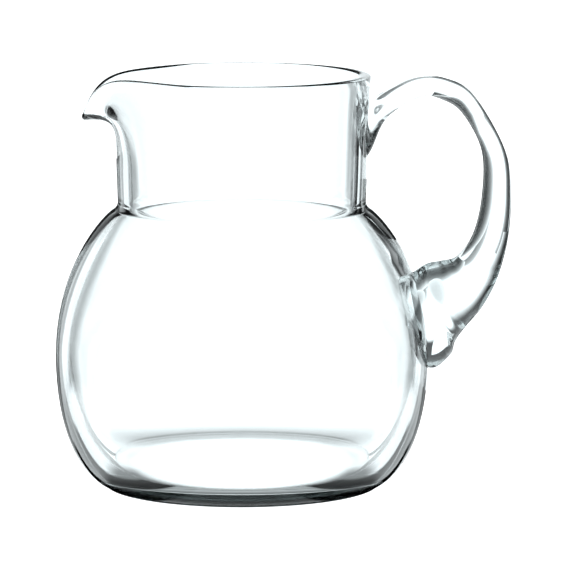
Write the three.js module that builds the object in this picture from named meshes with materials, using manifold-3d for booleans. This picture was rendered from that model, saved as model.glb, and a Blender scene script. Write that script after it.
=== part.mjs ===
// A clear glass water jug that holds about one and a half litres. The body is blown in one piece,
// with a heavy base, a round belly, a straight neck and a pouring lip pulled from the rim. The solid
// handle is a second gather of glass, pressed on to the belly, drawn up and fused to the neck.
// Millimetres and degrees. +Z is up, the foot stands on Z = 0 around the Z axis, the lip points
// along -X and the handle along +X.

import * as THREE from 'three';
import { mergeVertices } from 'three/addons/utils/BufferGeometryUtils.js';
import Module from 'manifold-3d';

// Body, outside
const FOOT_RADIUS = 53.4;
const FOOT_STEP = 0.6;
const HEEL_ANGLE = 19;
const HEEL_LENGTH = 7.6;
const BELLY_RADIUS = 72.3;
const BELLY_HEIGHT = 51;
const LOWER_BELLY_FULLNESS = 33.4;
const UPPER_BELLY_FULLNESS = 33.7;
const SHOULDER_ANGLE = 58;
const SHOULDER_LENGTH = 5.4;
const CREASE_HEIGHT = 108.6;
const CREASE_FILLET = 4;
const NECK_RADIUS = 48;
const MOUTH_RADIUS = 50;
const RIM_HEIGHT = 160;

// Body, inside
const WALL = 4.8;
const RIM_ROUNDING = 0.7;
const INNER_SHOULDER_ANGLE = 52;
const INNER_CREASE_DROP = 0.8;
const INNER_CREASE_FILLET = 5;
const INNER_BELLY_FULLNESS = 26;
const BASE_THICKNESS = 7.5;
const FLOOR_RADIUS = 51;
const FLOOR_EDGE_ANGLE = 20;
const FLOOR_EDGE_LENGTH = 6;

// Pouring lip
const LIP_START_DROP = 34;
const LIP_REACH = 14.2;
const LIP_DROP = 16.6;
const LIP_SPREAD = 66;
const LIP_ROUNDNESS = 0.8;
const LIP_PINCH = 0.64;
const LIP_PINCH_FADE = 0.75;
const LIP_THINNING = 0.35;
const LIP_CURL = 3.3;
const LIP_DROOP = 2.5;
const LIP_POINTEDNESS = 3.7;

// Handle
const GRIP_REACH = 103.8;
const GRIP_HEIGHT = 113;
const GRIP_THICKNESS = 11;
const GRIP_WIDTH = 13;
const ARCH_DROP = 0.8;
const ARCH_THICKNESS = 8;
const UPPER_WELD_DROP = 9.5;
const UPPER_WELD_LENGTH = 25;
const UPPER_WELD_WIDTH = 21;
const LOWER_WELD_RISE = 32.5;
const LOWER_WELD_WIDTH = 28;
const HEEL_DROP = 5.5;
const WELD_GAP = 0.3;
const WELD_DEPTH = 5;

// Smoothness
const BODY_SEGMENTS = 80;
const LIP_CROWDING = 0.6;
const BELLY_STEPS = 8;
const CREASE_STEPS = 3;
const NECK_STEPS = 8;
const RIM_STEPS = 6;
const HANDLE_SIDES = 22;
const HANDLE_RINGS = 50;

const GLASS_COLOUR = 0xdcebea;
const GLASS_ROUGHNESS = 0.03;
const GLASS_OPACITY = 0.35;

const at = (radius, height) => new THREE.Vector2(radius, height);
const radians = THREE.MathUtils.degToRad;
const towards = (angle, length) => at(length * Math.cos(radians(angle)), length * Math.sin(radians(angle)));

const wasm = await Module();
wasm.setup();

// The neck opens very slightly towards the mouth.
function neckRadius(height) {
  const share = (height - CREASE_HEIGHT) / (RIM_HEIGHT - CREASE_HEIGHT);
  return NECK_RADIUS + (MOUTH_RADIUS - NECK_RADIUS) * share * share;
}

// Heights along the neck, closer together where the lip bends.
function neckHeights(from, to) {
  return Array.from({ length: NECK_STEPS + 1 }, (_, i) => from + (to - from) * Math.sqrt(i / NECK_STEPS));
}

// The rounded corner under the neck, from the neck down to the shoulder.
function neckCorner(radius, height, angle, fillet) {
  const reach = fillet * Math.tan(radians(angle / 2));
  const end = Math.PI + radians(angle);
  const arc = new THREE.EllipseCurve(radius + fillet, height + reach, fillet, fillet, Math.PI, end);
  return arc.getPoints(CREASE_STEPS);
}

// From the foot's edge over the belly to the crease under the neck.
function outerBelly() {
  const foot = at(FOOT_RADIUS, FOOT_STEP);
  const belly = at(BELLY_RADIUS, BELLY_HEIGHT);
  const corner = neckCorner(NECK_RADIUS, CREASE_HEIGHT, SHOULDER_ANGLE, CREASE_FILLET).reverse();
  const shoulder = corner[0];
  const lower = new THREE.CubicBezierCurve(
    foot,
    foot.clone().add(towards(HEEL_ANGLE, HEEL_LENGTH)),
    belly.clone().sub(at(0, LOWER_BELLY_FULLNESS)),
    belly,
  );
  const upper = new THREE.CubicBezierCurve(
    belly,
    belly.clone().add(at(0, UPPER_BELLY_FULLNESS)),
    shoulder.clone().add(towards(SHOULDER_ANGLE - 90, SHOULDER_LENGTH)),
    shoulder,
  );
  return [
    ...lower.getPoints(BELLY_STEPS),
    ...upper.getPoints(BELLY_STEPS).slice(1),
    ...corner.slice(1),
  ];
}

// From the crease inside the neck down to the edge of the floor.
function innerBelly() {
  const crease = CREASE_HEIGHT - INNER_CREASE_DROP;
  const corner = neckCorner(NECK_RADIUS - WALL, crease, INNER_SHOULDER_ANGLE, INNER_CREASE_FILLET);
  const shoulder = corner[CREASE_STEPS];
  const belly = at(BELLY_RADIUS - WALL, BELLY_HEIGHT);
  const floor = at(FLOOR_RADIUS, BASE_THICKNESS);
  const upper = new THREE.CubicBezierCurve(
    shoulder,
    shoulder.clone().add(towards(INNER_SHOULDER_ANGLE - 90, SHOULDER_LENGTH)),
    belly.clone().add(at(0, INNER_BELLY_FULLNESS)),
    belly,
  );
  const lower = new THREE.CubicBezierCurve(
    belly,
    belly.clone().sub(at(0, INNER_BELLY_FULLNESS)),
    floor.clone().add(towards(FLOOR_EDGE_ANGLE, FLOOR_EDGE_LENGTH)),
    floor,
  );
  return [
    ...corner,
    ...upper.getPoints(BELLY_STEPS).slice(1),
    ...lower.getPoints(BELLY_STEPS).slice(1),
  ];
}

// The whole section of the wall, from the middle of the underside to the middle of the floor.
function bodyProfile() {
  const lipHeight = RIM_HEIGHT - LIP_START_DROP;
  const rimCentre = at(neckRadius(RIM_HEIGHT) - WALL / 2, RIM_HEIGHT - RIM_ROUNDING);
  const rim = new THREE.EllipseCurve(rimCentre.x, rimCentre.y, WALL / 2, RIM_ROUNDING, 0, Math.PI);
  const heights = neckHeights(lipHeight, rimCentre.y);
  return [
    at(0, 0),
    at(FOOT_RADIUS - FOOT_STEP, 0),
    ...outerBelly(),
    ...heights.slice(0, -1).map((height) => at(neckRadius(height), height)),
    ...rim.getPoints(RIM_STEPS),
    ...heights.slice(0, -1).reverse().map((height) => at(neckRadius(height) - WALL, height)),
    ...innerBelly(),
    at(0, BASE_THICKNESS),
  ];
}

// How strongly the lip is pulled at an angle from its middle: 1 in the middle, 0 at its edges.
function pullAt(angle) {
  const share = Math.min(Math.abs(angle) / radians(LIP_SPREAD), 1);
  return Math.cos(share ** LIP_ROUNDNESS * Math.PI / 2) ** 2;
}

// The middle of the wall, at an angle from the lip and a share of the way up to the rim.
function wallMiddle(angle, share, pull) {
  const height = RIM_HEIGHT - LIP_START_DROP * (1 - share);
  const radius = neckRadius(height) - WALL / 2;
  return new THREE.Vector3(
    -radius * Math.cos(angle) - LIP_REACH * pull * share ** LIP_CURL,
    radius * Math.sin(angle) * (1 - LIP_PINCH * pull ** LIP_PINCH_FADE * share ** 2),
    height - LIP_DROP * pull ** LIP_POINTEDNESS * share ** LIP_DROOP,
  );
}

// A point of the wall, set off from its middle along the wall's own normal.
function wallPoint(angle, share, offset, pulled) {
  const step = 0.001;
  const middle = (a, s) => wallMiddle(a, s, pulled ? pullAt(a) : 0);
  const around = middle(angle + step, share).sub(middle(angle - step, share));
  const upwards = middle(angle, share + step).sub(middle(angle, Math.max(share - step, 0)));
  const normal = upwards.cross(around).normalize();
  return middle(angle, share).addScaledVector(normal, offset);
}

// Crowds the segments at the lip and the handle, then pulls the lip out of the neck.
function pullLip(geometry) {
  const position = geometry.attributes.position;
  const lipHeight = RIM_HEIGHT - LIP_START_DROP;
  const point = new THREE.Vector3();
  for (let i = 0; i < position.count; i += 1) {
    point.fromBufferAttribute(position, i);
    const radius = Math.hypot(point.x, point.y);
    const even = Math.atan2(point.y, -point.x);
    const angle = even - LIP_CROWDING * Math.sin(2 * even) / 2;
    point.set(-radius * Math.cos(angle), radius * Math.sin(angle), point.z);
    const pull = pullAt(angle);
    if (point.z > lipHeight && pull > 0) {
      const share = (point.z - lipHeight) / LIP_START_DROP;
      const offset = radius - neckRadius(point.z) + WALL / 2;
      const thinned = offset * (1 - LIP_THINNING * pull * share);
      point.add(wallPoint(angle, share, thinned, true));
      point.sub(wallPoint(angle, share, offset, false));
    }
    position.setXYZ(i, point.x, point.y, point.z);
  }
}

// Turns a profile round the Z axis, starting opposite the lip.
function turned(profile) {
  const geometry = new THREE.LatheGeometry(profile, BODY_SEGMENTS, Math.PI / 2);
  geometry.rotateX(Math.PI / 2);
  return geometry;
}

function bodyGeometry() {
  const geometry = turned(bodyProfile());
  pullLip(geometry);
  geometry.computeVertexNormals();
  return geometry;
}

// The space that the body's outside fills, with the weld's gap around it.
function bodyEnvelope() {
  const outside = outerBelly().map((point) => at(point.x + WELD_GAP, point.y));
  const neck = neckHeights(CREASE_HEIGHT, RIM_HEIGHT).slice(1);
  const profile = [
    at(0, 0),
    at(FOOT_RADIUS + WELD_GAP, 0),
    ...outside,
    ...neck.map((height) => at(neckRadius(height) + WELD_GAP, height)),
    at(0, RIM_HEIGHT),
  ];
  return turned(profile);
}

// The handle's inner edge, outer edge and width, from inside the neck's wall to inside the belly's.
// Steps away from the neck, the grip and the belly are counted in thicknesses of the grip.
function handleStations() {
  const step = GRIP_THICKNESS;
  const onNeck = (out, down) => at(NECK_RADIUS + out * step, RIM_HEIGHT - UPPER_WELD_DROP - down * step);
  const onGrip = (inwards, up) => at(GRIP_REACH - inwards * step, GRIP_HEIGHT + up * step);
  const onBelly = (out, up) => at(BELLY_RADIUS + out * step, BELLY_HEIGHT + up * step);
  const archTop = RIM_HEIGHT - ARCH_DROP;
  const archUnder = archTop - ARCH_THICKNESS;
  const archMiddle = (NECK_RADIUS + GRIP_REACH) / 2;
  const onArch = (along, height, up) => at(archMiddle + along * step, height + up * step);
  const depth = WELD_DEPTH / step;
  const tail = UPPER_WELD_LENGTH / step;
  const crotch = LOWER_WELD_RISE / step;
  const heel = HEEL_DROP / step;
  return [
    { inner: onNeck(-depth, tail + 0.4), outer: onNeck(-depth, 0.3), width: UPPER_WELD_WIDTH },
    { inner: onNeck(0.15, tail - 0.4), outer: onNeck(0.2, 0), width: UPPER_WELD_WIDTH * 0.9 },
    { inner: onNeck(0.75, 0.65), outer: onNeck(0.75, -0.35), width: GRIP_WIDTH * 1.15 },
    { inner: onArch(-0.6, archUnder, 0), outer: onArch(-0.7, archTop, 0), width: GRIP_WIDTH },
    { inner: onArch(0.15, archUnder, -0.1), outer: onArch(0.4, archTop, -0.1), width: GRIP_WIDTH },
    { inner: onGrip(1.7, 2.9), outer: onGrip(1.25, 3.5), width: GRIP_WIDTH },
    { inner: onGrip(1.02, 1.6), outer: onGrip(0.18, 1.6), width: GRIP_WIDTH },
    { inner: onGrip(1, 0), outer: onGrip(0, 0), width: GRIP_WIDTH * 1.05 },
    { inner: onGrip(1.3, -1.35), outer: onGrip(0.1, -1.5), width: GRIP_WIDTH * 1.2 },
    { inner: onGrip(1.85, -2.15), outer: onGrip(0.5, -2.9), width: LOWER_WELD_WIDTH * 0.66 },
    { inner: onBelly(0.48, crotch + 0.36), outer: onBelly(1.8, 1.7), width: LOWER_WELD_WIDTH * 0.8 },
    { inner: onBelly(0.08, crotch + 0.3), outer: onBelly(1.25, 0.95), width: LOWER_WELD_WIDTH * 0.92 },
    { inner: onBelly(-0.17, crotch + 0.2), outer: onBelly(0.95, 0.45), width: LOWER_WELD_WIDTH * 0.98 },
    { inner: onBelly(-0.37, crotch + 0.07), outer: onBelly(0.8, 0), width: LOWER_WELD_WIDTH },
    { inner: onBelly(-0.73, crotch - 0.2), outer: onBelly(0.2, -heel), width: LOWER_WELD_WIDTH * 0.96 },
    { inner: onBelly(-1.2, crotch - 0.7), outer: onBelly(-depth, 0.2 - heel), width: LOWER_WELD_WIDTH * 0.8 },
  ];
}

// Rings of points joined into one closed solid.
function lofted(rings) {
  const sides = rings[0].length;
  const points = rings.flat();
  const index = [];
  for (let ring = 0; ring + 1 < rings.length; ring += 1) {
    for (let side = 0; side < sides; side += 1) {
      const here = ring * sides + side;
      const beside = ring * sides + (side + 1) % sides;
      index.push(here, here + sides, beside, beside, here + sides, beside + sides);
    }
  }
  const last = points.length - sides;
  for (let side = 1; side + 1 < sides; side += 1) {
    index.push(0, side, side + 1, last, last + side + 1, last + side);
  }
  const geometry = new THREE.BufferGeometry().setFromPoints(points);
  geometry.setIndex(index);
  return geometry;
}

function handleBlank() {
  const stations = handleStations();
  const innerEdge = new THREE.SplineCurve(stations.map((station) => station.inner));
  const outerEdge = new THREE.SplineCurve(stations.map((station) => station.outer));
  const widths = new THREE.SplineCurve(stations.map((station, i) => at(i, station.width)));
  const rings = [];
  for (let ring = 0; ring <= HANDLE_RINGS; ring += 1) {
    const share = ring / HANDLE_RINGS;
    const inner = innerEdge.getPoint(share);
    const outer = outerEdge.getPoint(share);
    const halfWidth = widths.getPoint(share).y / 2;
    const points = Array.from({ length: HANDLE_SIDES }, (_, side) => {
      const angle = side / HANDLE_SIDES * 2 * Math.PI;
      const edge = inner.clone().lerp(outer, (1 + Math.cos(angle)) / 2);
      return new THREE.Vector3(edge.x, halfWidth * Math.sin(angle), edge.y);
    });
    rings.push(points);
  }
  return lofted(rings);
}

function toSolid(geometry) {
  const bare = geometry.clone();
  bare.deleteAttribute('normal');
  bare.deleteAttribute('uv');
  const merged = mergeVertices(bare);
  return new wasm.Manifold(new wasm.Mesh({
    numProp: 3,
    vertProperties: new Float32Array(merged.attributes.position.array),
    triVerts: new Uint32Array(merged.index.array),
  }));
}

function toGeometry(solid) {
  const mesh = solid.getMesh();
  const geometry = new THREE.BufferGeometry();
  geometry.setAttribute('position', new THREE.BufferAttribute(mesh.vertProperties, 3));
  geometry.setIndex(new THREE.BufferAttribute(mesh.triVerts, 1));
  geometry.computeVertexNormals();
  return geometry;
}

// The handle's ends are moulded to the body by cutting away the space that the body fills.
function handleGeometry() {
  return toGeometry(toSolid(handleBlank()).subtract(toSolid(bodyEnvelope())));
}

function glassPart(name, geometry) {
  const material = new THREE.MeshStandardMaterial({
    color: GLASS_COLOUR,
    roughness: GLASS_ROUGHNESS,
    metalness: 0,
    transparent: true,
    opacity: GLASS_OPACITY,
  });
  const mesh = new THREE.Mesh(geometry, material);
  mesh.name = name;
  return mesh;
}

const jug = new THREE.Group();
jug.name = 'water_jug';
jug.add(glassPart('jug_body', bodyGeometry()));
jug.add(glassPart('handle', handleGeometry()));

export default jug;
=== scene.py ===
# %% [markdown]
# # A clear glass water jug
# The jug is two pieces of glass. The body is blown in one go: heavy base, round belly, straight neck
# and a pouring lip pulled from the rim. The handle is a solid gather that is pressed on to the belly,
# drawn up, bent over and pressed on to the neck. Clear glass has no colour of its own to paint, so
# its look comes from exact walls, a faint tint in the depth of the glass, and what stands round it.

# %% Load the frame
import math

import bmesh
import bpy
import numpy as np
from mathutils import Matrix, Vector


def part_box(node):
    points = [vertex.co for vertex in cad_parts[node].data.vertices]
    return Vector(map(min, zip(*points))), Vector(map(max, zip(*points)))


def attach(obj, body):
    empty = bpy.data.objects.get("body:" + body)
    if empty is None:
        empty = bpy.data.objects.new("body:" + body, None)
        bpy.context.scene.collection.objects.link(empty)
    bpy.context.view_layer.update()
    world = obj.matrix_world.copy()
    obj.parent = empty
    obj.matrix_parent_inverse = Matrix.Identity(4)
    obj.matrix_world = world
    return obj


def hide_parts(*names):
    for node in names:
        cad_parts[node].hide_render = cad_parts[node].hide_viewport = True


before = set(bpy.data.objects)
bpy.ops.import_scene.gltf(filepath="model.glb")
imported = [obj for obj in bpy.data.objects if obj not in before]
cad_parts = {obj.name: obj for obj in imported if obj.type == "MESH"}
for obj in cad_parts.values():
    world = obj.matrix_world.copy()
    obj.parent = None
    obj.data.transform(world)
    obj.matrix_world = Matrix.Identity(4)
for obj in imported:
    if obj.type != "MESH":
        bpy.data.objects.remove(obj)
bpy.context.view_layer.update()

body_low, body_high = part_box("jug_body")
handle_low, handle_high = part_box("handle")
print("CAD body", tuple(body_low), tuple(body_high))
print("CAD handle", tuple(handle_low), tuple(handle_high))

# %% [markdown]
# ## Sizes
# The frame gives the overall sizes: the rim's height, the belly's radius and how far the handle
# reaches. The rest of the section is written here in millimetres, as a drawing would give it, and
# turned into Blender's metres where a point is made.

# %% Sizes of the body
MM = 0.001
RIM_HEIGHT = round(body_high[2] / MM)
BELLY_RADIUS = round(body_high[0] / MM, 1)
GRIP_REACH = round(handle_high[0] / MM, 1)

FOOT_RADIUS = 53.4
FOOT_STEP = 0.6
HEEL_ANGLE = 19
HEEL_LENGTH = 7.6
BELLY_HEIGHT = 51
LOWER_BELLY_FULLNESS = 33.4
UPPER_BELLY_FULLNESS = 33.7
SHOULDER_ANGLE = 58
SHOULDER_LENGTH = 5.4
CREASE_HEIGHT = 108.6
CREASE_FILLET = 4
INNER_CREASE_DROP = 0.8
INNER_CREASE_FILLET = 5
INNER_SHOULDER_ANGLE = 52
NECK_RADIUS = 48
MOUTH_RADIUS = 50
RIM_ROUNDING = 0.7
WALL = 4.8
BASE_THICKNESS = 7.5
FLOOR_RADIUS = 51
FLOOR_EDGE_ANGLE = 20
FLOOR_EDGE_LENGTH = 6
INNER_BELLY_FULLNESS = 26
FLAT_MARGIN = 0.5
print("rim", round(RIM_HEIGHT, 2), "belly", round(BELLY_RADIUS, 2), "reach", round(GRIP_REACH, 2))

# %% [markdown]
# ## The section of the wall
# A blown body is round, so one section says it all. A Bezier curve is the tool for such a section:
# two control points and their handles give the whole swing of the belly, where a chain of short
# edges would show its corners in the glass. Each entry is a point, the handle before it and the
# handle after it. A handle left out makes that side straight. The flat foot and the flat floor each
# get an extra point just before their edge, which keeps smooth shading from tilting the flat.

# %% Bezier sections
ARC_HANDLE = 0.5523
SECTION_STEPS = 18


def along(angle, length):
    return Vector((math.cos(math.radians(angle)), math.sin(math.radians(angle)))) * length


def neck_radius(height):
    share = (height - CREASE_HEIGHT) / (RIM_HEIGHT - CREASE_HEIGHT)
    return NECK_RADIUS + (MOUTH_RADIUS - NECK_RADIUS) * share * share


def bezier_section(name, stations, steps):
    bpy.ops.object.select_all(action="DESELECT")
    bpy.ops.curve.primitive_bezier_curve_add()
    section = bpy.context.object
    section.name = name
    section.data.resolution_u = steps
    points = section.data.splines[0].bezier_points
    points.add(len(stations) - len(points))
    for point, (place, before, after) in zip(points, stations):
        point.handle_left_type = "FREE" if before else "VECTOR"
        point.handle_right_type = "FREE" if after else "VECTOR"
        point.co = (place[0] * MM, 0, place[1] * MM)
        for side, handle in (("handle_left", before), ("handle_right", after)):
            if handle:
                setattr(point, side, (handle[0] * MM, 0, handle[1] * MM))
    bpy.ops.object.convert(target="MESH")
    return bpy.context.object


def neck_corner(radius, height, angle, fillet):
    """Two stations that round the corner between shoulder and neck by an arc."""
    reach = fillet * math.tan(math.radians(angle / 2))
    pull = fillet * math.tan(math.radians(angle / 4)) * 4 / 3
    corner = Vector((radius, height))
    slope = along(angle - 90, 1)
    shoulder = corner + slope * reach
    neck = corner + Vector((0, reach))
    return [
        (shoulder, shoulder + slope * SHOULDER_LENGTH, shoulder - slope * pull),
        (neck, neck - Vector((0, pull)), None),
    ]


def outer_stations():
    foot = Vector((FOOT_RADIUS, FOOT_STEP))
    belly = Vector((BELLY_RADIUS, BELLY_HEIGHT))
    rise = Vector((0, 1))
    return [
        (Vector((0, 0)), None, None),
        (Vector((FOOT_RADIUS - FOOT_STEP - FLAT_MARGIN, 0)), None, None),
        (Vector((FOOT_RADIUS - FOOT_STEP, 0)), None, Vector((FOOT_RADIUS - FOOT_STEP / 2, 0))),
        (foot, foot - rise * FOOT_STEP / 2, foot + along(HEEL_ANGLE, HEEL_LENGTH)),
        (belly, belly - rise * LOWER_BELLY_FULLNESS, belly + rise * UPPER_BELLY_FULLNESS),
        *neck_corner(NECK_RADIUS, CREASE_HEIGHT, SHOULDER_ANGLE, CREASE_FILLET),
    ]


def neck_stations():
    top = RIM_HEIGHT - RIM_ROUNDING
    third = (top - CREASE_HEIGHT) / 3
    radius = neck_radius(top)
    side = WALL / 2 * ARC_HANDLE
    rise = RIM_ROUNDING * ARC_HANDLE
    lean = (radius - NECK_RADIUS) * 2 / 3
    outer = Vector((radius, top))
    crest = Vector((radius - WALL / 2, RIM_HEIGHT))
    inner = Vector((radius - WALL, top))
    return [
        (outer, outer - Vector((lean, third)), outer + Vector((0, rise))),
        (crest, crest + Vector((side, 0)), crest - Vector((side, 0))),
        (inner, inner + Vector((0, rise)), inner - Vector((lean, third))),
    ]


def inner_stations():
    crease = CREASE_HEIGHT - INNER_CREASE_DROP
    corner = neck_corner(NECK_RADIUS - WALL, crease, INNER_SHOULDER_ANGLE, INNER_CREASE_FILLET)
    belly = Vector((BELLY_RADIUS - WALL, BELLY_HEIGHT))
    floor = Vector((FLOOR_RADIUS, BASE_THICKNESS))
    rise = Vector((0, INNER_BELLY_FULLNESS))
    return [
        *((place, after, before) for place, before, after in reversed(corner)),
        (belly, belly + rise, belly - rise),
        (floor, floor + along(FLOOR_EDGE_ANGLE, FLOOR_EDGE_LENGTH), None),
        (floor - Vector((FLAT_MARGIN, 0)), None, None),
        (Vector((0, BASE_THICKNESS)), None, None),
    ]


wall_stations = outer_stations() + neck_stations() + inner_stations()
body = bezier_section("jug_body_glass", wall_stations, SECTION_STEPS)
print("section points", len(body.data.vertices))

# %% [markdown]
# ## Turning the section
# On the real jug the turning pipe makes the body round. Here the spin tool turns the section once
# round the Z axis. The corner under the neck is already an arc in the section, because glass never
# keeps a sharp corner. The last step of the spin lands on the first, and the middle of the base
# becomes a pile of points, so doubles are merged and the normals are worked out again.

# %% Spin the body
BODY_STEPS = 240
MERGE = 0.00001


def edit(obj, mode="VERT"):
    bpy.ops.object.select_all(action="DESELECT")
    obj.select_set(True)
    bpy.context.view_layer.objects.active = obj
    bpy.ops.object.mode_set(mode="EDIT")
    bpy.ops.mesh.select_mode(type=mode)
    bpy.ops.mesh.select_all(action="DESELECT")
    return bmesh.from_edit_mesh(obj.data)


def leave(obj):
    bmesh.update_edit_mesh(obj.data)
    bpy.ops.object.mode_set(mode="OBJECT")


def spin_round(obj, steps):
    edit(obj)
    bpy.ops.mesh.select_all(action="SELECT")
    bpy.ops.mesh.spin(steps=steps, angle=math.tau, center=(0, 0, 0), axis=(0, 0, 1))
    bpy.ops.mesh.select_all(action="SELECT")
    bpy.ops.mesh.remove_doubles(threshold=MERGE)
    bpy.ops.mesh.normals_make_consistent(inside=False)
    leave(obj)


spin_round(body, BODY_STEPS)
print("body faces", len(body.data.polygons))

# %% [markdown]
# ## Pulling the lip
# While the rim is soft, the maker hooks it outwards and down and pinches it from both sides.
# Proportional editing could do this by hand, but its round falloff gives a blunt beak. Here each
# point of the neck knows its angle from the lip and its share of the way up, and from those two it
# is moved out, down and together. The wall is set off from the middle of the pulled wall along that
# wall's own normal, and it thins a little towards the lip, as stretched glass does.

# %% Pull the lip
LIP_START_DROP = 34
LIP_REACH = 14.2
LIP_DROP = 16.6
LIP_SPREAD = 66
LIP_ROUNDNESS = 0.8
LIP_PINCH = 0.64
LIP_PINCH_FADE = 0.75
LIP_THINNING = 0.35
LIP_CURL = 3.3
LIP_DROOP = 2.5
LIP_POINTEDNESS = 3.7
SLOPE_STEP = 0.001


def pull_at(angle):
    share = np.minimum(np.abs(angle) / math.radians(LIP_SPREAD), 1)
    return np.cos(share ** LIP_ROUNDNESS * math.pi / 2) ** 2


def wall_middle(angle, share, pull):
    height = RIM_HEIGHT - LIP_START_DROP * (1 - share)
    radius = neck_radius(height) - WALL / 2
    out = radius * np.cos(angle) + LIP_REACH * pull * share ** LIP_CURL
    side = radius * np.sin(angle) * (1 - LIP_PINCH * pull ** LIP_PINCH_FADE * share ** 2)
    drop = LIP_DROP * pull ** LIP_POINTEDNESS * share ** LIP_DROOP
    return np.stack([-out, side, height - drop], axis=1)


def wall_point(angle, share, offset, pulled):
    pull = pull_at if pulled else np.zeros_like
    before = angle - SLOPE_STEP
    after = angle + SLOPE_STEP
    low = np.maximum(share - SLOPE_STEP, 0)
    high = share + SLOPE_STEP
    around = wall_middle(after, share, pull(after)) - wall_middle(before, share, pull(before))
    upwards = wall_middle(angle, high, pull(angle)) - wall_middle(angle, low, pull(angle))
    normal = np.cross(upwards, around)
    normal /= np.linalg.norm(normal, axis=1, keepdims=True)
    return wall_middle(angle, share, pull(angle)) + normal * offset[:, None]


def pull_lip(obj):
    points = np.empty(len(obj.data.vertices) * 3)
    obj.data.vertices.foreach_get("co", points)
    points = points.reshape(-1, 3) / MM
    radius = np.hypot(points[:, 0], points[:, 1])
    angle = np.arctan2(points[:, 1], -points[:, 0])
    lip = (points[:, 2] > RIM_HEIGHT - LIP_START_DROP) & (pull_at(angle) > 0)
    share = 1 - (RIM_HEIGHT - points[lip, 2]) / LIP_START_DROP
    offset = radius[lip] - neck_radius(points[lip, 2]) + WALL / 2
    thinned = offset * (1 - LIP_THINNING * pull_at(angle[lip]) * share)
    points[lip] += wall_point(angle[lip], share, thinned, True)
    points[lip] -= wall_point(angle[lip], share, offset, False)
    obj.data.vertices.foreach_set("co", (points * MM).ravel())
    obj.data.update()
    return int(lip.sum())


print("points moved for the lip", pull_lip(body))

# %% [markdown]
# ## The handle's stations
# The gather starts as a thick foot on the belly and thins as it is drawn up and over. The side view
# shows its inner and its outer edge, so each station is a pair of points on these edges and a width
# across. Stations are counted in grip thicknesses from a near feature: the neck, the arch, the grip
# or the belly. Smooth curves run through them, so the rings between need no numbers of their own.

# %% Stations of the handle
GRIP_HEIGHT = 113
GRIP_THICKNESS = 11
GRIP_WIDTH = 13
ARCH_DROP = 0.8
ARCH_THICKNESS = 8
UPPER_WELD_DROP = 9.5
UPPER_WELD_LENGTH = 25
UPPER_WELD_WIDTH = 21
LOWER_WELD_RISE = 32.5
LOWER_WELD_WIDTH = 28
HEEL_DROP = 5.5
WELD_DEPTH = 5

ARCH_TOP = RIM_HEIGHT - ARCH_DROP
ARCH_UNDER = ARCH_TOP - ARCH_THICKNESS


def on_neck(out, down):
    return (NECK_RADIUS + out * GRIP_THICKNESS, RIM_HEIGHT - UPPER_WELD_DROP - down * GRIP_THICKNESS)


def on_arch(along_it, height, up):
    return ((NECK_RADIUS + GRIP_REACH) / 2 + along_it * GRIP_THICKNESS, height + up * GRIP_THICKNESS)


def on_grip(inwards, up):
    return (GRIP_REACH - inwards * GRIP_THICKNESS, GRIP_HEIGHT + up * GRIP_THICKNESS)


def on_belly(out, up):
    return (BELLY_RADIUS + out * GRIP_THICKNESS, BELLY_HEIGHT + up * GRIP_THICKNESS)


def handle_stations():
    depth = WELD_DEPTH / GRIP_THICKNESS
    tail = UPPER_WELD_LENGTH / GRIP_THICKNESS
    crotch = LOWER_WELD_RISE / GRIP_THICKNESS
    heel = HEEL_DROP / GRIP_THICKNESS
    return [
        (on_neck(-depth, tail + 0.4), on_neck(-depth, 0.3), UPPER_WELD_WIDTH),
        (on_neck(0.15, tail - 0.4), on_neck(0.2, 0), UPPER_WELD_WIDTH * 0.9),
        (on_neck(0.75, 0.65), on_neck(0.75, -0.35), GRIP_WIDTH * 1.15),
        (on_arch(-0.6, ARCH_UNDER, 0), on_arch(-0.7, ARCH_TOP, 0), GRIP_WIDTH),
        (on_arch(0.15, ARCH_UNDER, -0.1), on_arch(0.4, ARCH_TOP, -0.1), GRIP_WIDTH),
        (on_grip(1.7, 2.9), on_grip(1.25, 3.5), GRIP_WIDTH),
        (on_grip(1.02, 1.6), on_grip(0.18, 1.6), GRIP_WIDTH),
        (on_grip(1, 0), on_grip(-0.03, 0), GRIP_WIDTH * 1.05),
        (on_grip(1.3, -1.35), on_grip(0.06, -1.5), GRIP_WIDTH * 1.2),
        (on_grip(1.85, -2.15), on_grip(0.42, -2.9), LOWER_WELD_WIDTH * 0.66),
        (on_belly(0.48, crotch + 0.36), on_belly(1.92, 1.7), LOWER_WELD_WIDTH * 0.8),
        (on_belly(0.08, crotch + 0.3), on_belly(1.3, 0.95), LOWER_WELD_WIDTH * 0.92),
        (on_belly(-0.17, crotch + 0.2), on_belly(0.95, 0.45), LOWER_WELD_WIDTH * 0.98),
        (on_belly(-0.37, crotch + 0.07), on_belly(0.8, 0), LOWER_WELD_WIDTH),
        (on_belly(-0.73, crotch - 0.2), on_belly(0.2, -heel), LOWER_WELD_WIDTH * 0.96),
        (on_belly(-1.2, crotch - 0.7), on_belly(-depth, 0.2 - heel), LOWER_WELD_WIDTH * 0.8),
    ]


def between_stations(values, share):
    last = len(values) - 1
    place = share * last
    first = min(int(place), last - 1)
    t = place - first
    before, start, end, after = (values[max(0, min(last, first + k))] for k in (-1, 0, 1, 2))
    leave_slope = (end - before) / 2
    reach_slope = (after - start) / 2
    bend = (2 * start - 2 * end + leave_slope + reach_slope) * t ** 3
    sway = (3 * end - 3 * start - 2 * leave_slope - reach_slope) * t ** 2
    return bend + sway + leave_slope * t + start


def handle_ring(share, angle):
    inner, outer, width = (np.array(column, dtype=float) for column in zip(*handle_stations()))
    inside = between_stations(inner, share)
    outside = between_stations(outer, share)
    half = between_stations(width, share) / 2
    edge = inside + (outside - inside) * (1 + math.cos(angle)) / 2
    return Vector((edge[0], half * math.sin(angle), edge[1])) * MM


print("stations", len(handle_stations()))

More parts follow.
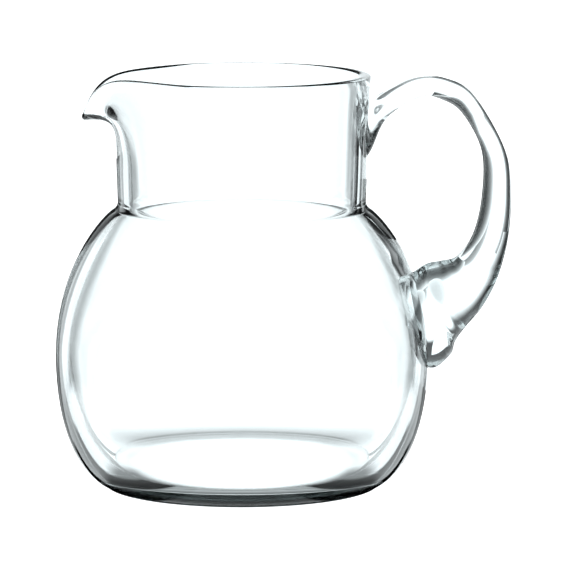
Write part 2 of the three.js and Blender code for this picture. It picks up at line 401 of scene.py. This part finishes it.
# %% [markdown]
# ## Drawing the handle
# A handle is drawn out of its gather in one pull. Extruding does the same: a filled circle is
# extruded again and again, and each new ring is put where the stations say, from the neck to the
# belly. The first and the last face close the solid.

# %% Draw the handle
HANDLE_SIDES = 48
HANDLE_RINGS = 112
FIRST_RADIUS = 0.01


def draw_handle():
    bpy.ops.object.select_all(action="DESELECT")
    bpy.ops.mesh.primitive_circle_add(vertices=HANDLE_SIDES, radius=FIRST_RADIUS)
    obj = bpy.context.object
    obj.name = "handle_glass"
    mesh = edit(obj)
    order = sorted(mesh.verts, key=lambda vert: math.atan2(vert.co.y, vert.co.x) % math.tau)
    angles = [side / HANDLE_SIDES * math.tau for side in range(HANDLE_SIDES)]
    for vert, angle in zip(order, angles):
        vert.co = handle_ring(0, angle)
    bpy.ops.mesh.select_all(action="SELECT")
    bpy.ops.mesh.edge_face_add()
    for ring in range(1, HANDLE_RINGS + 1):
        bpy.ops.mesh.extrude_region_move()
        mesh = bmesh.from_edit_mesh(obj.data)
        verts = next(face for face in mesh.faces if face.select).verts
        begin = handle_ring((ring - 1) / HANDLE_RINGS, 0)
        start = min(range(HANDLE_SIDES), key=lambda side: (verts[side].co - begin).length)
        turn = 1 if verts[(start + 1) % HANDLE_SIDES].co.y > 0 else -1
        for side, angle in enumerate(angles):
            verts[(start + turn * side) % HANDLE_SIDES].co = handle_ring(ring / HANDLE_RINGS, angle)
    bpy.ops.mesh.select_all(action="SELECT")
    bpy.ops.mesh.normals_make_consistent(inside=False)
    leave(obj)
    return obj


handle = draw_handle()
print("handle faces", len(handle.data.polygons))

# %% [markdown]
# ## Pressing the handle on
# Hot glass takes the shape of what it is pressed on. A plain solid of the body's outside is spun
# from the same section and cut out of the handle, a little smaller than the body, so that the two
# pieces of glass run into each other at the weld with no film of air between them.

# %% Press the handle on
WELD_SINK = 0.5


def outside_solid():
    top = (Vector((neck_radius(RIM_HEIGHT), RIM_HEIGHT)), None, None)
    axis = (Vector((0, RIM_HEIGHT)), None, None)
    solid = bezier_section("outside", outer_stations() + [top, axis], SECTION_STEPS)
    spin_round(solid, BODY_STEPS)
    edit(solid)
    bpy.ops.mesh.select_all(action="SELECT")
    bpy.ops.transform.shrink_fatten(value=-WELD_SINK * MM)
    leave(solid)
    return solid


def apply_modifier(obj, kind, **settings):
    modifier = obj.modifiers.new(kind.title(), kind)
    for key, value in settings.items():
        setattr(modifier, key, value)
    bpy.ops.object.select_all(action="DESELECT")
    obj.select_set(True)
    bpy.context.view_layer.objects.active = obj
    bpy.ops.object.modifier_apply(modifier=modifier.name)


cutter = outside_solid()
apply_modifier(handle, "BOOLEAN", object=cutter, operation="DIFFERENCE", solver="EXACT")
bpy.data.objects.remove(cutter)
print("handle faces after pressing on", len(handle.data.polygons))

# %% [markdown]
# ## Smooth shading
# Fire polish leaves no facets. Shading by angle smooths the swing of the walls, and keeps only the
# sharp line where the handle was cut to the body.

# %% Smooth the glass
BODY_SMOOTH = 60
HANDLE_SMOOTH = 50
for piece, angle in ((body, BODY_SMOOTH), (handle, HANDLE_SMOOTH)):
    bpy.ops.object.select_all(action="DESELECT")
    piece.select_set(True)
    bpy.context.view_layer.objects.active = piece
    bpy.ops.object.shade_smooth_by_angle(angle=math.radians(angle))
    print("smoothed", piece.name, "up to", angle, "degrees")

# %% [markdown]
# ## A helper for shader nodes
# A shader is a sum of simple steps, and sums are easier to read as sums. This class wraps a node's
# output, so that plus, minus and times build the math nodes, and one method makes every other node.

# %% Shader values


class Value:
    """A shader socket that takes part in Python sums."""

    def __init__(self, tree, socket):
        self.tree = tree
        self.socket = socket

    def node(self, kind, output=0, settings=None, **sockets):
        """Makes a node and returns one of its outputs."""
        made = self.tree.nodes.new(kind)
        for key, value in (settings or {}).items():
            if key == "stops":
                stops = made.color_ramp.elements
                while len(stops) < len(value):
                    stops.new(1)
                for stop, (place, level) in zip(stops, value):
                    stop.position = place
                    stop.color = (level, level, level, 1)
            else:
                setattr(made, key, value)
        for key, value in sockets.items():
            counted = key[0] == "i" and key[1:].isdigit()
            target = made.inputs[int(key[1:]) if counted else key.replace("_", " ")]
            if isinstance(value, Value):
                self.tree.links.new(value.socket, target)
            else:
                target.default_value = value
        return Value(self.tree, made.outputs[output]) if made.outputs else None

    def math(self, operation, *values):
        inputs = {f"i{index}": value for index, value in enumerate(values)}
        return self.node("ShaderNodeMath", settings={"operation": operation}, **inputs)

    def ramp(self, low, high):
        """A soft step from 0 at one value to 1 at another."""
        smooth = {"interpolation_type": "SMOOTHSTEP"}
        return self.node("ShaderNodeMapRange", settings=smooth, Value=self, From_Min=low, From_Max=high)

    def graded(self, span, stops):
        """Looks the value up in a list of places and levels."""
        shares = [(place / span, level) for place, level in stops]
        return self.node("ShaderNodeValToRGB", "Color", {"stops": shares}, Fac=self * (1 / span))

    def split(self, axes):
        return [self.node("ShaderNodeSeparateXYZ", axis, Vector=self) for axis in axes]

    def __add__(self, other):
        return self.math("ADD", self, other)

    def __sub__(self, other):
        return self.math("SUBTRACT", self, other)

    def __rsub__(self, other):
        return self.math("SUBTRACT", other, self)

    def __mul__(self, other):
        return self.math("MULTIPLY", self, other)

    def __truediv__(self, other):
        return self.math("DIVIDE", self, other)

    def __rtruediv__(self, other):
        return self.math("DIVIDE", other, self)

    __radd__ = __add__
    __rmul__ = __mul__


def start_nodes(owner):
    """Empties a material's or a world's node tree and returns the value that new nodes start from."""
    owner.use_nodes = True
    owner.node_tree.nodes.clear()
    return Value(owner.node_tree, None)


print("shader helper", Value.__doc__)

# %% [markdown]
# ## Clear glass
# Glass is a Principled shader with full transmission. Its faint sea-green comes from the depth of
# the glass, so it is an absorption inside the solid and not a colour on its skin. Blown glass is
# never quite even, so a low, wide noise bends its skin a little. The underside of the foot is ground
# flat after cooling, which leaves it slightly rough.

# %% Glass
GLASS_IOR = 1.5
GLASS_TINT = (0.76, 0.85, 0.857, 1)
GLASS_ABSORPTION = 20.0
GROUND_HEIGHT = 0.05
GROUND_ROUGHNESS = 0.12
WAVE_SCALE = 45.0
WAVE_HEIGHT = 0.02
PLAIN = (1, 1, 1, 1)


def clear_glass(name):
    material = bpy.data.materials.new(name)
    start = start_nodes(material)
    spot = start.node("ShaderNodeTexCoord", "Object")
    ground = start.math("LESS_THAN", spot.split("Z")[0], GROUND_HEIGHT * MM)
    waves = start.node("ShaderNodeTexNoise", Vector=spot, Scale=WAVE_SCALE, Detail=1.0)
    relief = start.node("ShaderNodeBump", Height=waves, Strength=1.0, Distance=WAVE_HEIGHT * MM)
    skin = start.node(
        "ShaderNodeBsdfPrincipled",
        Base_Color=PLAIN,
        Roughness=ground * GROUND_ROUGHNESS,
        IOR=GLASS_IOR,
        Transmission_Weight=1.0,
        Normal=relief,
    )
    depth = start.node("ShaderNodeVolumeAbsorption", Color=GLASS_TINT, Density=GLASS_ABSORPTION)
    start.node("ShaderNodeOutputMaterial", Surface=skin, Volume=depth)
    return material


body.data.materials.clear()
body.data.materials.append(clear_glass("body_clear_glass"))
handle.data.materials.clear()
handle.data.materials.append(clear_glass("handle_clear_glass"))

for piece, node, slot in ((body, "jug_body", "body_glass"), (handle, "handle", "handle_glass")):
    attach(piece, "root")
    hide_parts(node)
    print("dressed", piece.name, "with", piece.data.materials[0].name)

# %% [markdown]
# ## Floor
# The photograph's background is white without a shadow. This floor is white paper with a little glow
# of its own, and only the camera sees it. What the glass sees is a second sheet, made below.

# %% Floor
FLOOR_SIZE = 12
FLOOR_DROP = 0.0003
FLOOR_GLOW = 1.2
PAPER_GREY = 0.8
PAPER_ROUGHNESS = 0.9
bpy.ops.object.select_all(action="DESELECT")
bpy.ops.mesh.primitive_plane_add(size=FLOOR_SIZE, location=(0, 0, -FLOOR_DROP))
floor = bpy.context.object
floor.name = "floor"
paper = bpy.data.materials.new("white_paper")
paper.use_nodes = True
skin = paper.node_tree.nodes["Principled BSDF"]
skin.inputs["Base Color"].default_value = (PAPER_GREY, PAPER_GREY, PAPER_GREY, 1)
skin.inputs["Roughness"].default_value = PAPER_ROUGHNESS
skin.inputs["Emission Color"].default_value = PLAIN
skin.inputs["Emission Strength"].default_value = FLOOR_GLOW
floor.data.materials.append(paper)
floor.visible_transmission = False
floor.visible_glossy = False
print("floor", floor.dimensions[:2])

# %% [markdown]
# ## World
# Clear glass is drawn by what it bends. Straight behind the jug the world is white, which leaves the
# glass clean. To both sides it turns grey, white again and then dark, and the curved walls squeeze
# these bands into the stripes along their edges. Above it is dark, in front it is half bright. Angles
# are in degrees from straight behind, and levels are shares of white.

# %% World
DEGREES = 180 / math.pi
BAND_SPAN = 60
BAND_STOPS = [
    (0, 1), (12.5, 1), (14, 0.78), (16, 0.48), (18, 0.33), (22, 0.24), (25, 0.16),
    (26.5, 0.4), (28.5, 1), (38, 1), (45, 0),
]
DARK_END = 84
DARK_SOFTNESS = 8
WHITE = 1.45
LIGHT = (0.91, 0.98, 1, 1)
DARK = 0.03
FRONT = 0.5
TOP = -0.8
TOP_START = 55
TOP_SOFTNESS = 15
SKY_START = 14
SKY_SOFTNESS = 3
AHEAD_START = 6
AHEAD_END = 10
AHEAD_INNER = 8
AHEAD_OUTER = 14

world = bpy.data.worlds.new("studio")
bpy.context.scene.world = world
start = start_nodes(world)
x, y, z = start.node("ShaderNodeTexCoord", "Generated").split("XYZ")
azimuth = start.math("ABSOLUTE", start.math("ARCTAN2", x, y) * DEGREES)
height = start.math("ARCSINE", z) * DEGREES

low = 1 - height.ramp(TOP_START, TOP_START + TOP_SOFTNESS)
sky = height.ramp(SKY_START - SKY_SOFTNESS, SKY_START + SKY_SOFTNESS)
ahead = height.ramp(AHEAD_START, AHEAD_END) * (1 - azimuth.ramp(AHEAD_INNER, AHEAD_OUTER))
up = start.math("MAXIMUM", sky, ahead)
behind = 1 - azimuth.ramp(DARK_END - DARK_SOFTNESS, DARK_END + DARK_SOFTNESS)
dark = behind * low * (1 - azimuth.graded(BAND_SPAN, BAND_STOPS) * (1 - up))
front = (1 - behind) * low
light = (1 - (1 - DARK) * dark) * (1 - (1 - FRONT) * front) * (1 + TOP * (1 - low)) * WHITE
seen = start.node("ShaderNodeLightPath", "Is Camera Ray")
strength = light * (1 - seen) + seen * WHITE
background = start.node("ShaderNodeBackground", Color=LIGHT, Strength=strength)
start.node("ShaderNodeOutputWorld", Surface=background)
print("world nodes", len(world.node_tree.nodes))

# %% [markdown]
# ## The paper that the glass sees
# Most of what the jug bends into view is the paper it stands on. Only the glass sees this second
# sheet, which glows with the paper's light and shade painted into it. It has the world's bands, drawn
# from the left and right edge of the jug instead of its middle, and close to the jug and beside it the
# paper stays bright. Lengths are in metres, angles in degrees.

# %% Paper bands
SWEEP_DROP = 0.001
SWEEP_LIMB = 66
NEAR_START = 0.15
NEAR_END = 0.25
NEAR_INNER = 26
NEAR_OUTER = 28.5
ASIDE = 0.7
ASIDE_START = 76
ASIDE_END = 92
bpy.ops.object.select_all(action="DESELECT")
bpy.ops.mesh.primitive_plane_add(size=FLOOR_SIZE, location=(0, 0, -SWEEP_DROP))
sweep = bpy.context.object
sweep.name = "sweep"
paper_light = bpy.data.materials.new("sweep_light")
start = start_nodes(paper_light)
x, y = start.node("ShaderNodeNewGeometry", "Position").split("XY")
to_left = start.math("ARCTAN2", 0 - x - SWEEP_LIMB * MM, y) * DEGREES
to_right = start.math("ARCTAN2", x - SWEEP_LIMB * MM, y) * DEGREES
angle = start.math("MAXIMUM", to_left, to_right)
reach = start.math("SQRT", x * x + y * y)
near = (1 - reach.ramp(NEAR_START, NEAR_END)) * angle.ramp(NEAR_INNER, NEAR_OUTER)
# Painted light and shade: the sheet glows bright or dark in the world's bands, seen from the jug's
# edges.
bands = start.math("MAXIMUM", angle.graded(BAND_SPAN, BAND_STOPS), near)
bands = start.math("MAXIMUM", bands, angle.ramp(ASIDE_START, ASIDE_END) * ASIDE)
print("paper nodes for the bands", len(paper_light.node_tree.nodes))

# %% [markdown]
# ## Shade round the foot
# A jug leaves soft rings of shade on its paper, and the thick base shows them as the dark ellipse
# round its floor. Here the rings are painted shade in the glowing sheet, and inside them a painted pool
# of light lies under the middle of the foot. The rings behind and in front of the foot differ, so each
# has its own list of distances in millimetres from the middle of the foot, and a soft step blends them
# into the plain sides. A painted dark streak of shade on either side draws the outermost line of the
# lower wall.

# %% Paper rings
RING_SPAN = 120
BACK_START = 0.35
BACK_END = 0.75
FRONT_START = 0.15
FRONT_END = 0.45
STREAK_SLOPE = 1.6
STREAK_PLACE = 0.1
STREAK_CORE = 0.006
STREAK_EDGE = 0.01
STREAK_START = 0.085
STREAK_END = 0.11
# Each list starts at 1.9 inside about 40 mm, a painted pool of light under the middle of the foot; the
# dips after it are painted shade.
SIDE_RING = [(0, 1.9), (38, 1.9), (46, 1)]
BACK_RING = [
    (0, 1.9), (41, 1.9), (43.7, 1.2), (46.7, 0.6), (48.7, 0.35), (50.7, 0.4), (52.7, 0.5),
    (54.7, 0.25), (56.3, 0.05), (62.5, 0.4), (68, 0.5), (77, 0.66), (89.5, 0.9), (98, 1),
]
FRONT_RING = [
    (0, 1.9), (39, 1.9), (43, 1), (44.5, 0.6), (46, 0.25), (48.5, 0.12), (51, 0.3), (53, 0.4),
    (57, 0.15), (62, 0.2), (66, 0.6), (72, 1),
]
distance = reach * (1 / MM)
lengthwise = y / reach
at_back = lengthwise.ramp(BACK_START, BACK_END)
at_front = (0 - lengthwise).ramp(FRONT_START, FRONT_END)
beside = distance.graded(RING_SPAN, SIDE_RING)
behind_foot = (distance.graded(RING_SPAN, BACK_RING) - beside) * at_back
before_foot = (distance.graded(RING_SPAN, FRONT_RING) - beside) * at_front
ring = beside + behind_foot + before_foot
# Painted shade: a dark streak along each side of the foot in the glowing sheet.
aslant = start.math("ABSOLUTE", y - start.math("ABSOLUTE", x) * STREAK_SLOPE + STREAK_PLACE)
close = 1 - reach.ramp(STREAK_START, STREAK_END)
streak = (1 - aslant.ramp(STREAK_CORE, STREAK_EDGE)) * close
strength = (bands * (1 - DARK) + DARK) * ring * (1 - streak) * WHITE
lamp = start.node("ShaderNodeEmission", Color=LIGHT, Strength=strength)
start.node("ShaderNodeOutputMaterial", Surface=lamp)
sweep.data.materials.append(paper_light)
sweep.visible_camera = False
sweep.visible_diffuse = False
sweep.visible_shadow = False
print("paper nodes", len(paper_light.node_tree.nodes))

# %% [markdown]
# ## Flags along the outline
# A glass photographer puts narrow black strips, called flags, just out of the picture to draw a
# crisp edge. Here each flag is a grid whose first row follows a line of the side view and whose other
# rows lie to the right of it. Every row has its own level, so a flag can fade in. Each entry of a
# line is a place, a height and a factor on the flag's width. Only the glass sees the flags.

# %% Outline flags
BLACK = 0.02
EDGE_BEHIND = 5
EDGE_STOPS = [(0.1, BLACK), (3.3, BLACK)]
OUTLINE_STEPS = 12
FOOT_STATION = 3
LEFT_EDGE = (0, 128)
RIGHT_LOW_EDGE = (0, 42)
RIGHT_HIGH_EDGE = (92, 122)


def as_flag(obj, level=None):
    """Turns a sheet into a flag or card that only the glass sees."""
    paint = bpy.data.materials.new(obj.name + "_paint")
    start = start_nodes(paint)
    strength = level
    if level is None:
        strength = start.node("ShaderNodeAttribute", "Fac", {"attribute_name": "level"}) * WHITE
    lamp = start.node("ShaderNodeEmission", Color=LIGHT, Strength=strength)
    start.node("ShaderNodeOutputMaterial", Surface=lamp)
    obj.data.materials.clear()
    obj.data.materials.append(paint)
    obj.visible_camera = False
    obj.visible_diffuse = False
    obj.visible_shadow = False
    print("sheet", obj.name, "with", len(obj.data.vertices), "points")


def strip(name, columns, stops, spot):
    """A grid of graded rows, with each point put where the given function says."""
    bpy.ops.object.select_all(action="DESELECT")
    bpy.ops.mesh.primitive_grid_add(x_subdivisions=columns - 1, y_subdivisions=len(stops) - 1)
    obj = bpy.context.object
    obj.name = name
    levels = obj.data.attributes.new("level", "FLOAT", "POINT").data
    for index, vert in enumerate(obj.data.vertices):
        row, column = divmod(index, columns)
        offset, level = stops[row]
        vert.co = Vector(spot(column, offset)) * MM
        levels[index].value = level
    obj.data.update()
    as_flag(obj)


def ribbon(name, line, stops, behind):
    """A strip along a line of the side view, graded towards the right of the line's run."""
    last = len(line) - 1

    def spot(column, offset):
        across, height, width = line[column]
        ahead = Vector(line[min(column + 1, last)][:2]) - Vector(line[max(column - 1, 0)][:2])
        away = Vector((ahead.y, -ahead.x)).normalized() * offset * width
        return (across + away.x, behind, height + away.y)

    strip(name, len(line), stops, spot)


def outline(side, low, high):
    """The points of the body's outer section between two heights, on the left or the right."""
    stations = outer_stations()[FOOT_STATION:] + neck_stations()[:1]
    edge = bezier_section("outline", stations, OUTLINE_STEPS)
    points = [(vert.co.x / MM, vert.co.z / MM) for vert in edge.data.vertices]
    bpy.data.objects.remove(edge)
    points = [(side * across, height, 1) for across, height in points if low < height < high]
    return points if side > 0 else points[::-1]


ribbon("left_edge", outline(-1, *LEFT_EDGE), EDGE_STOPS, EDGE_BEHIND)
ribbon("right_edge_low", outline(1, *RIGHT_LOW_EDGE), EDGE_STOPS, EDGE_BEHIND)
ribbon("right_edge_high", outline(1, *RIGHT_HIGH_EDGE), EDGE_STOPS, EDGE_BEHIND)

# %% [markdown]
# ## Flags and cards for the handle and the lip
# A solid handle is a strong lens and turns what is behind it round: what stands on its left shows at
# its right edge. So one flag on each side gives the two dark bands of the grip, and further flags
# follow the tail, the arch, the lip and the fork above the lower weld. Two white cards clear the
# places that would show the dark sides of the studio.

# %% Handle flags
FLAG_BEHIND = 30
TAIL_BEHIND = 20
HEEL_BEHIND = 65
VIEW_SLOPE = 0.14
CROTCH_SIDES = (73.5, 106)
CROTCH_HEIGHT = 52
CROTCH_STOPS = [(22, 0.02), (44, 0.04), (54, 0.2), (64, 0.6), (72, 1)]
INNER_STOPS = [
    (0, 0.9), (1.3, 0.62), (2.6, 0.36), (4, 0.2), (6, 0.1), (8, 0.05), (11, 0.02), (45, 0.01),
]
OUTER_STOPS = [(0, 0.9), (0.8, 0.6), (2, 0.3), (3.8, 0.12), (6, 0.05), (10, 0.02), (15, 0.01)]
TAIL_STOPS = [(0, 0.9), (0.7, 0.55), (1.5, 0.28), (2.5, 0.1), (3.6, 0.03), (8, 0.01)]
ARCH_STOPS = [(0, 0.9), (1, 0.4), (2.5, 0.2), (8, 0.15)]
LIP_STOPS = [(0.1, 0.2), (3, 0.2)]
INNER_LINE = [
    (102.6, 55, 1), (102.6, 130, 1), (100, 137, 0.8),
    (92.6, 143, 0.5), (87.8, 150, 0.4), (84, 156.5, 0.4), (79, 166, 0.4),
]
OUTER_LINE = [(89, 136, 1), (89, 110, 1), (89, 88, 1)]
TAIL_LINE = [
    (91, 97, 1.5), (90.5, 90, 1.5), (89, 83.5, 1.5), (83.5, 77.4, 1.3), (77.5, 70, 1),
    (74.8, 66.6, 0.5), (72.9, 64.2, 0.35), (71.4, 62, 0.15),
]
ARCH_LINE = [(56, 143, 1), (66, 143.2, 1), (74, 142, 1), (82, 138.5, 1), (88, 133, 1)]
LIP_LINE = [(-47, 159.2, 1), (-55.3, 153.3, 1), (-61, 148.5, 1), (-63.3, 144, 1), (-63.9, 141, 1)]
ARCH_CARD = [(48, 151), (77, 151), (77, 195), (48, 195)]
HEEL_CARD = [(44, 58), (68, 58), (68, 79), (44, 79)]


def card(name, corners, behind):
    """A flat white card that faces the camera, with its corners given in the side view."""
    bpy.ops.object.select_all(action="DESELECT")
    bpy.ops.mesh.primitive_circle_add(vertices=len(corners), fill_type="NGON")
    obj = bpy.context.object
    obj.name = name
    for vert, (across, height) in zip(obj.data.vertices, corners):
        vert.co = Vector((across, behind, height)) * MM
    obj.data.update()
    as_flag(obj, WHITE)


def shelf(name, sides, height, stops):
    """A strip that lies along the camera's view, graded away from the camera."""

    def spot(column, offset):
        return (sides[column], offset, height - offset * VIEW_SLOPE)

    strip(name, len(sides), stops, spot)


shelf("crotch_flag", CROTCH_SIDES, CROTCH_HEIGHT, CROTCH_STOPS)
ribbon("inner_flag", INNER_LINE, INNER_STOPS, FLAG_BEHIND)
ribbon("outer_flag", OUTER_LINE, OUTER_STOPS, FLAG_BEHIND)
ribbon("tail_flag", TAIL_LINE, TAIL_STOPS, TAIL_BEHIND)
ribbon("arch_flag", ARCH_LINE, ARCH_STOPS, FLAG_BEHIND)
ribbon("lip_edge", LIP_LINE, LIP_STOPS, EDGE_BEHIND)
card("arch_card", ARCH_CARD, FLAG_BEHIND)
card("heel_card", HEEL_CARD, HEEL_BEHIND)

# %% [markdown]
# ## Camera
# The camera was fitted to the photograph: the ellipses of rim and base are best met from 2 m away,
# 8 degrees above the level, with a long lens. Many bounces let light through all the walls.
# Reflections inside the glass count as glossy bounces, and a low limit on those leaves light that is
# caught in the thick base dark, as it looks in the photograph.

# %% Camera
CAMERA_DISTANCE = 2.011
CAMERA_HEIGHT = 0.3602
CAMERA_PITCH = 7.99
CAMERA_SIDE = 0.0167
SENSOR = 36
FOCAL_PIXELS = 5236
FRAME_PIXELS = 570
CLIP_END = 100
BOUNCES = 32
GLOSSY_BOUNCES = 4
bpy.ops.object.camera_add(
    location=(CAMERA_SIDE, -CAMERA_DISTANCE, CAMERA_HEIGHT),
    rotation=(math.radians(90 - CAMERA_PITCH), 0, 0),
)
camera = bpy.context.object
camera.data.sensor_width = SENSOR
camera.data.sensor_fit = "HORIZONTAL"
camera.data.lens = SENSOR * FOCAL_PIXELS / FRAME_PIXELS
camera.data.clip_end = CLIP_END
scene = bpy.context.scene
scene.camera = camera
scene.view_settings.view_transform = "Standard"
scene.cycles.max_bounces = BOUNCES
scene.cycles.transmission_bounces = BOUNCES
scene.cycles.glossy_bounces = GLOSSY_BOUNCES
print("lens", round(camera.data.lens, 1), "mm")

# %% [markdown]
